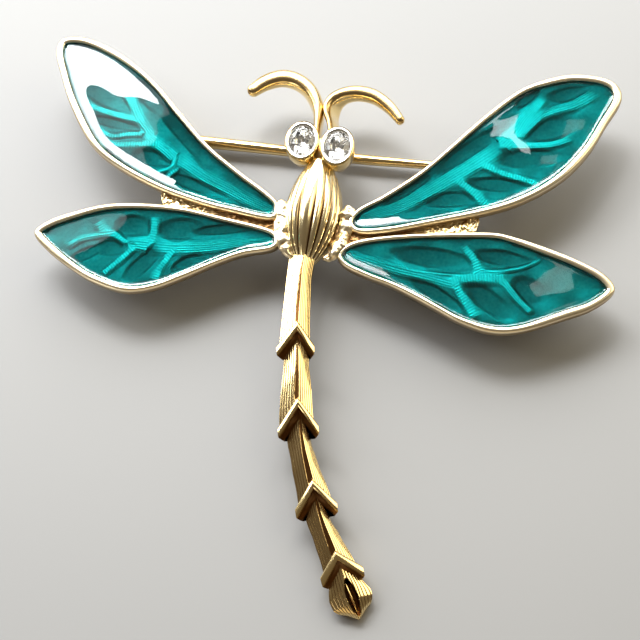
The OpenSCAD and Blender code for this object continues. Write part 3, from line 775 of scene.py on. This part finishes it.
# Swept-back chevrons with their apex on the ridge, (across, along, ridge's height, half width, sweep)
SEGMENTS = [
    [(-0.3, -3.6, 5.25, 1.3, 0.05), (-0.35, -6.6, 5.42, 1.22, 0.33), (-0.2, -9.5, 5.3, 1.35, 1.2),
     (-0.05, -11.6, 5.3, 1.5, 2.1), (0, -12.1, 5.3, 1.5, 2.2)],
    [(0.1, -12.6, 4.85, 1.22, 2.4), (0.2, -13.6, 4.8, 1.25, 2.3), (0.5, -16, 4.8, 1.5, 2.3),
     (0.85, -19, 4.6, 1.7, 2.6), (0.93, -19.4, 4.6, 1.7, 2.7)],
    [(1.1, -20.2, 3.95, 1.12, 2.7), (1.3, -21.2, 3.9, 1.15, 2.6), (2.1, -23.8, 3.8, 1.35, 2.4),
     (3.15, -26.5, 3.6, 1.65, 2.5), (3.3, -26.9, 3.6, 1.65, 2.5)],
    [(3.5, -27.7, 2.95, 1.12, 2.4), (3.8, -28.6, 2.9, 1.15, 2.3), (4.8, -30.6, 2.8, 1.35, 2.2),
     (6.05, -32.8, 2.7, 1.65, 2.2), (6.25, -33.2, 2.7, 1.65, 2.2)],
    [(6.5, -33.9, 2.2, 1.6, 2), (6.8, -34.6, 2.15, 1.75, 1.6), (7.4, -35.9, 2.1, 2.05, 1),
     (8.1, -37.2, 2, 2, 0.3), (8.7, -38.3, 1.5, 1.6, -0.4), (8.98, -38.85, 1, 1.05, -0.75)]]
# Collars between them, the same columns at the crest, with the ridge height of the segment before
COLLARS = [
    (-0.04, -11.95, 5.3, 1.85, 2.3), (0.93, -19.35, 4.6, 1.98, 2.7), (3.25, -26.85, 3.6, 2.02, 2.45),
    (6.2, -33.15, 2.7, 2.07, 2)]
# How far both edges of a segment, and of its collar, lie to the left of even
EDGE_SHIFTS = [(0.3, 0.3), (0.25, 0.25), (0.35, 0.1), (0.3, 0), (0, 0)]
# Collar section along the tail, (distance past the crest, height over the segment, widening, painted shade)
COLLAR_SECTION = [
    (-0.34, -0.35, -0.2, 0.3), (-0.32, 0, -0.1, 0.1), (-0.29, 0.16, -0.03, 0), (-0.22, 0.27, 0, 0),
    (-0.1, 0.33, 0, 0), (0.1, 0.36, 0, 0), (0.3, 0.36, 0, 0), (0.5, 0.34, 0, 0), (0.62, 0.27, -0.02, 0.1),
    (0.68, 0.12, -0.06, 0.4), (0.75, -0.05, -0.1, 0.9), (1.1, -0.36, -0.22, 1), (1.5, -0.66, -0.35, 1),
    (1.65, -1, -0.45, 1)]
CREST = 0.68
COLLAR_POINTS = 81
# By what share a collar's back thins and its crest falls towards its edges, and how much higher they lie
COLLAR_THINNING = 0.8
COLLAR_FALL = 0.15
COLLAR_EDGE = 0.22
# Depth of the tail and of its collars below the ridge
TAIL_DEPTH = 2.2
COLLAR_DEPTH = 1.6
# Shares of that depth up to the upper edges and to the lower ones, and how much the top swells
EDGE_SHARE = 0.62
FOOT_SHARE = 0.45
FOOT_DROP = 0.3
SWELL = 0.06
# Shares of the half width where the foot's corners lie, and the painted shade there
SIDE_CORNERS = (0.97, 0.9, -0.9, -0.97)
SIDE_SHADES = (0.5, 0.7, 0.7, 0.5)
# Rows of a segment, points across it, and how often its heading is evened out
TAIL_ROWS = 64
TAIL_POINTS = 161
HEADING_ROUNDS = 60
# Grooves on each side of the ridge, how much they wander, how deep, over which share they get painted shade
TAIL_LINES = 6.5
LINE_WANDER = 0.25
LINE_DEPTH = 0.025
LINE_EDGE = (0.6, 0.1)
DARKEST = 0.95
# Width of the polished strip left of each segment's ridge, which gets a painted dark reflection
STRIPS = [0.22, 0.3, 0.45, 0.5, 0]
STRIP_DROP = 0.1
STRIP_SLOPE = 0.3
# Painted shade on each segment's left face, how much darker it is
LEFT_FACE_SHADES = [0, 0.08, 0.32, 0.38, 0.15]
# The slot in the bud, (across, along, length, width, turn), its depth, its floor and the lowest wall it cuts
BUD_SLOT = (8.15, -36.9, 3.3, 1, 27)
SLOT_DEPTH = 1.3
SLOT_FLOOR = 0.3
SLOT_LOWEST = 0.8
# The power that rounds its outline, and the shares of its size over which its walls rise
SLOT_POWER = 1.6
SLOT_WALL = (1.25, 0.8)
BUD_RIB_RADIUS = 0.13
BUD_RIB_TOP = 1.45


def standing(rings, shades):
    """A closed gold part through swept-back rings, with upright ends and a flat foot under each."""
    ends = [rings[0].copy(), rings[-1].copy()]
    for end in ends:
        end[:, 2] = end[:, 2].min()
    return *ring_solid([ends[0], *rings, ends[1]]), GOLD, np.concatenate([shades[0], *shades, shades[-1]])


def chevron(row, way, across, top, shift, deep):
    """One ring of the tail: its top over the points across, swept back from the ridge, its sides and foot."""
    x, y, ridge, half, sweep = row
    low = max(0.0, ridge - deep)
    foot = low + (ridge - low) * FOOT_SHARE - FOOT_DROP
    offset = np.concatenate([across, SIDE_CORNERS])
    z = np.concatenate([top, [min(foot, top[-1]), low, low, min(foot, top[0])]])
    back = sweep * np.abs(offset)
    aside = offset * half - shift * np.abs(offset)
    return places(x - way[1] * aside + way[0] * back, y + way[0] * aside + way[1] * back, z)


def ridge_top(ridge, across):
    low = max(0.0, ridge - TAIL_DEPTH)
    edge = low + (ridge - low) * EDGE_SHARE
    return edge + (ridge - edge) * (1 - np.abs(across)) + SWELL * np.sin(np.pi * np.abs(across))


def lengthwise(table, count):
    """Evenly spaced rows along a table, rounded a little at its own rows."""
    table = np.array(table, float)
    reach = np.concatenate([[0], np.cumsum(np.linalg.norm(np.diff(table[:, :2], axis=0), axis=1))])
    even = np.linspace(0, reach[-1], count)
    return smoothed(np.stack([np.interp(even, reach, column) for column in table.T], axis=-1), count // 4)


def slot_sink(points):
    """How far each point lies inside the bud's slot, from 0 to 1."""
    x, y, length, width, turn = BUD_SLOT
    local = (points[:, :2] - [x, y]) @ turned_axes(turn + 90) / [length / 2, width / 2]
    return smoothstep(*SLOT_WALL, (np.abs(local)**SLOT_POWER).sum(axis=1)) * (points[:, 2] > SLOT_LOWEST)


def tail_segment(table, strip, shift, left_shade):
    """A ridged segment with fine lengthwise grooves and a leaf-shaped polished strip along its ridge."""
    rows = lengthwise(table, TAIL_ROWS)
    across = np.linspace(-1, 1, TAIL_POINTS)
    off_ridge = np.abs(across)
    rings, shades = [], []
    for s, row, way in zip(np.linspace(0, 1, TAIL_ROWS), rows, smoothed(headings(rows), HEADING_ROUNDS)):
        ridge, half = row[2:4]
        lines = np.abs(np.sin(np.pi * TAIL_LINES * off_ridge + LINE_WANDER * np.sin(9 * s + 5 * across)))
        broad = strip * s**0.8 * smoothstep(1, 0.88, s) / half
        flat = smoothstep(-broad - 0.04, -broad, across) * smoothstep(0.05, 0, across) * (broad > 0.03)
        top = ridge_top(ridge, across) - LINE_DEPTH * (1 - lines)**2.5
        top += (ridge - STRIP_DROP - STRIP_SLOPE * off_ridge * half - top) * flat
        rings.append(chevron(row, way, across, top, shift, TAIL_DEPTH))
        # Painted shade in the grooves and a painted dark reflection on the polished strip
        dark = DARKEST * np.maximum(smoothstep(*LINE_EDGE, lines) * (1 - flat), flat)
        # Painted shade on the left face
        dark = np.maximum(dark, left_shade * smoothstep(0.05, -0.05, across))
        shades.append(np.concatenate([dark, SIDE_SHADES]))
    points, faces, material, shade = standing(rings, shades)
    if not strip:
        sink = slot_sink(points)
        points[:, 2] -= np.minimum(SLOT_DEPTH, points[:, 2] - SLOT_FLOOR) * sink
        # Painted shade in the bud's slot
        shade = np.maximum(shade, sink)
    return points, faces, material, shade


def collar(row, way, shift):
    """A raised collar: a rounded bright crest and a slanted face behind it, dark with painted shade."""
    x, y, ridge, half, sweep = row
    across = np.linspace(-1, 1, COLLAR_POINTS)
    off_ridge = np.abs(across)
    thinning = 1 - COLLAR_THINNING * np.append(off_ridge, np.ones(len(SIDE_CORNERS)))
    rings, shades = [], []
    for distance, height, widen, shade in COLLAR_SECTION:
        top = ridge_top(ridge, across) + height * (1 - COLLAR_FALL * off_ridge) + COLLAR_EDGE * off_ridge
        ring = chevron((x, y, ridge, half + widen, sweep), way, across, top, shift, COLLAR_DEPTH)
        past = min(distance, CREST) + max(0, distance - CREST) * thinning
        ring[:, :2] += past[:, None] * way
        rings.append(ring)
        shades.append(np.full(len(ring), shade))
    return standing(rings, shades)


def bud_rib():
    """The thin rib inside the bud's slot."""
    x, y, length, _, turn = BUD_SLOT
    way = np.array([math.sin(math.radians(turn)), -math.cos(math.radians(turn))])
    rings = []
    for t in np.linspace(-1, 1, 25):
        size = BUD_RIB_RADIUS * math.sqrt(max(1 - t**2, 0.02))
        along, side = 0.42 * length * t, 0.06 * t - 0.12
        centre = (x + way[0] * along - way[1] * side, y + way[1] * along + way[0] * side,
                  BUD_RIB_TOP - 0.3 * t)
        rings.append(standing_ring(centre, -way, size, 1.6 * size, full_turn(16)))
    return *ring_solid(rings), GOLD, 0.0


tail_parts = [tail_segment(rows, strip, shifts[0], left_shade)
              for rows, strip, shifts, left_shade in zip(SEGMENTS, STRIPS, EDGE_SHIFTS, LEFT_FACE_SHADES)]
tail_parts.append(bud_rib())
for collar_row, before, after, shifts in zip(COLLARS, SEGMENTS[:-1], SEGMENTS[1:], EDGE_SHIFTS):
    heading = np.subtract(after[0][:2], before[-2][:2])
    tail_parts.append(collar(collar_row, heading / np.linalg.norm(heading), shifts[1]))
make_piece("tail", tail_parts, ["casting"])


# Hinge, catch and pin on the back

PIN_HEIGHT = 1.2
HINGE_ACROSS = 16.4
HINGE_ALONG = 8.35
CATCH_ACROSS = 14.2
CATCH_ALONG = 7.75
PIN_ROOT = 1.2
PIN_STEPS = 8
PIN_SIDES = 28
PIN_EYE_SIDES = 56
# Shades of the hinge and the catch, the pin's eye, and the pin and its rivet
FITTING_SHADE, PIN_EYE_SHADE, PIN_SHADE = 0.25, 0.15, 0.1
# From the hinge to the point, (across, along, thickness)
PIN_LINE = [
    (0.6 - HINGE_ACROSS, HINGE_ALONG, PIN_ROOT), (-13.2, 8.31, PIN_ROOT * 1.1), (-5.9, 8.12, PIN_ROOT),
    (3.7, 7.8, PIN_ROOT * 0.93), (8.4, 7.77, PIN_ROOT * 0.8), (CATCH_ACROSS, CATCH_ALONG, 0.8),
    (CATCH_ACROSS + 2.4, CATCH_ALONG, 0.12)]
RIVET_SIDES = 40
# Sections of the pin's eye and of the rivet from the middle towards the head, (radius, distance along)
PIN_EYE = [(1.05, 0.54), (0.98, 0.62), (0.43, 0.62)]
RIVET = [(0.4, 1.35), (0.34, 1.42), (0.2, 1.45)]
# A cheek of the hinge: where it starts, its section (share of its size, distance outwards), top and foot
CHEEK_START = PIN_ROOT / 2 + 0.08
CHEEK_SECTION = [(0.94, 0), (1, 0.06), (1, 0.64), (0.94, 0.7)]
CHEEK_TOP = WING_BASE + 1.1
CHEEK_FOOT = 0.02
# The catch: its thickness with rounded edges, the hook's inner radius, half its mouth, and its post
CATCH_SECTION = (-0.8, -0.74, 0.74, 0.8)
HOOK_RADIUS = 0.55
HALF_MOUTH = 0.52
POST = np.array([(-0.8, PIN_HEIGHT + 0.7), (0.8, PIN_HEIGHT + 0.7), (0.8, WING_BASE + 0.9),
                 (-0.8, WING_BASE + 0.9)])


def arc(radius, angle):
    """Points (sideways, height) round the middle of the pin."""
    return np.c_[radius * np.cos(angle), PIN_HEIGHT + radius * np.sin(angle)]


def hinge_ring(flat, y):
    """An upright ring of (sideways, height) points at the hinge, y along from its middle."""
    return places(flat[:, 0] - HINGE_ACROSS, HINGE_ALONG + y, flat[:, 1])


def hinge_rings(section, sides):
    """Round rings about the hinge's line, from half a section."""
    both = [(radius, -y) for radius, y in section[::-1]] + section
    return [hinge_ring(arc(radius, full_turn(sides)), y) for radius, y in both]


def hinge_cheek(side):
    """One rounded cheek of the hinge."""
    outline = np.vstack([arc(PIN_HEIGHT, np.linspace(np.pi, 2 * np.pi, 33)),
                         [[PIN_HEIGHT, CHEEK_TOP], [-PIN_HEIGHT, CHEEK_TOP]]])
    middle = outline.mean(axis=0)
    rings = []
    for share, outwards in CHEEK_SECTION:
        flat = middle + (outline - middle) * share
        flat[:, 1] = np.maximum(flat[:, 1], CHEEK_FOOT)
        rings.append(hinge_ring(flat, side * (CHEEK_START + outwards)))
    return *ring_solid(rings), GOLD, FITTING_SHADE


def catch():
    """The catch, a hook open towards the back."""
    mouth = math.asin(HALF_MOUTH / PIN_HEIGHT)
    angle = np.linspace(-np.pi / 2 + mouth, np.pi * 1.5 - mouth, 49)
    hook = np.vstack([arc(PIN_HEIGHT, angle), arc(HOOK_RADIUS, angle[::-1])])
    return [(*ring_solid([places(CATCH_ACROSS + x, CATCH_ALONG + flat[:, 0], flat[:, 1])
                          for x in CATCH_SECTION]), GOLD, FITTING_SHADE) for flat in (hook, POST)]


def pin_stem():
    """The pin, slightly bent behind the head, with its eye and its sharpened end."""
    line = curve(PIN_LINE, PIN_STEPS)
    angle = full_turn(PIN_SIDES)
    stem = ring_solid([standing_ring((x, y, PIN_HEIGHT), way, thickness / 2, thickness / 2, angle)
                       for (x, y, thickness), way in zip(line, headings(line))])
    eye = np.vstack(hinge_rings(PIN_EYE, PIN_EYE_SIDES))
    closed = grid_faces(2 * len(PIN_EYE) + 1, PIN_EYE_SIDES, wrap=True)
    eye_faces = [[corner % len(eye) for corner in face] for face in closed]
    return [(*stem, GOLD, PIN_SHADE), (eye, eye_faces, GOLD, PIN_EYE_SHADE)]


def rivet():
    """The rivet through the hinge, with slightly domed ends."""
    return [(*ring_solid(hinge_rings(RIVET, RIVET_SIDES)), GOLD, PIN_SHADE)]


make_piece("hinge_and_catch", [hinge_cheek(-1), hinge_cheek(1)] + catch(), ["casting"], sharp=30)
make_piece("pin", pin_stem(), ["pin_stem"], body="pin", sharp=40)
make_piece("rivet", rivet(), ["hinge_rivet"])


# Floor, lights and camera

FLOOR_HALF = 0.6


def floor():
    mesh = bpy.data.meshes.new("floor")
    corners = [(x * FLOOR_HALF, y * FLOOR_HALF, 0) for x, y in ((-1, -1), (1, -1), (1, 1), (-1, 1))]
    mesh.from_pydata(corners, [], [(0, 1, 2, 3)])
    material, _ = new_material("pale_floor", {"Base Color": (0.22, 0.218, 0.215, 1), "Roughness": 0.7})
    mesh.materials.append(material)
    add_object("floor", mesh)


def panel(name, centre, size, brightness, colour, spin=None):
    """A soft light panel, centre and size in millimetres: level and turned by spin, or facing the brooch."""
    light = bpy.data.lights.new(name, "AREA")
    light.shape = "RECTANGLE"
    light.size, light.size_y = size[0] * MM, size[1] * MM
    light.energy = brightness * math.pi * light.size * light.size_y
    light.color = colour
    lamp = add_object(name, light)
    lamp.location = at(centre)
    if spin is None:
        lamp.rotation_euler = (-lamp.location).to_track_quat("-Z", "Y").to_euler()
    else:
        lamp.rotation_euler = (0, 0, math.radians(spin))


def world(strength, colour):
    scene_world = bpy.data.worlds.new("studio")
    scene_world.use_nodes = True
    background = scene_world.node_tree.nodes["Background"]
    background.inputs["Color"].default_value = (*colour, 1)
    background.inputs["Strength"].default_value = strength
    bpy.context.scene.world = scene_world


def camera():
    eye = bpy.data.cameras.new("camera")
    eye.lens = 61.875
    eye.sensor_width = 36
    eye.clip_start = 0.005
    holder = add_object("camera", eye)
    holder.location = (0.01460, -0.02864, 0.10823)
    holder.rotation_euler = (math.radians(16), math.radians(5), math.radians(7.3))
    bpy.context.scene.camera = holder


DAYLIGHT = (0.97, 0.99, 1.0)
PEACH = (1.0, 0.93, 0.86)
floor()
world(0.15, (1.0, 0.82, 0.6))
panel("window", (-125, 202, 255), (200, 110), 28, DAYLIGHT, spin=-18)
panel("upper_window", (-5, 212, 255), (130, 120), 16, DAYLIGHT, spin=0)
panel("sky", (-107, 118, 257), (90, 50), 2.2, (0.97, 0.97, 1.0), spin=41)
panel("glint", (1, 131, 255), (10, 11), 8, DAYLIGHT, spin=0)
panel("high_sky", (23, 133, 255), (9, 8), 1.6, PEACH, spin=0)
panel("mid_sky", (16, 121, 255), (9, 6), 1.6, PEACH, spin=0)
panel("low_sky", (46, 78, 255), (9, 9), 2.5, (1.0, 0.95, 0.9), spin=35)
panel("left", (-209, 121, 140), (230, 210), 9, DAYLIGHT)
panel("north", (20, 250, 150), (260, 150), 8, DAYLIGHT)
panel("right", (205, 95, 155), (180, 220), 3.6, (1.0, 0.9, 0.65))
panel("low_left", (-155, -190, 55), (120, 60), 3, (1.0, 0.95, 0.85))
panel("south", (30, -250, 80), (250, 80), 0.9, (1.0, 0.8, 0.5))
camera()
bpy.context.scene.view_settings.view_transform = "Standard"
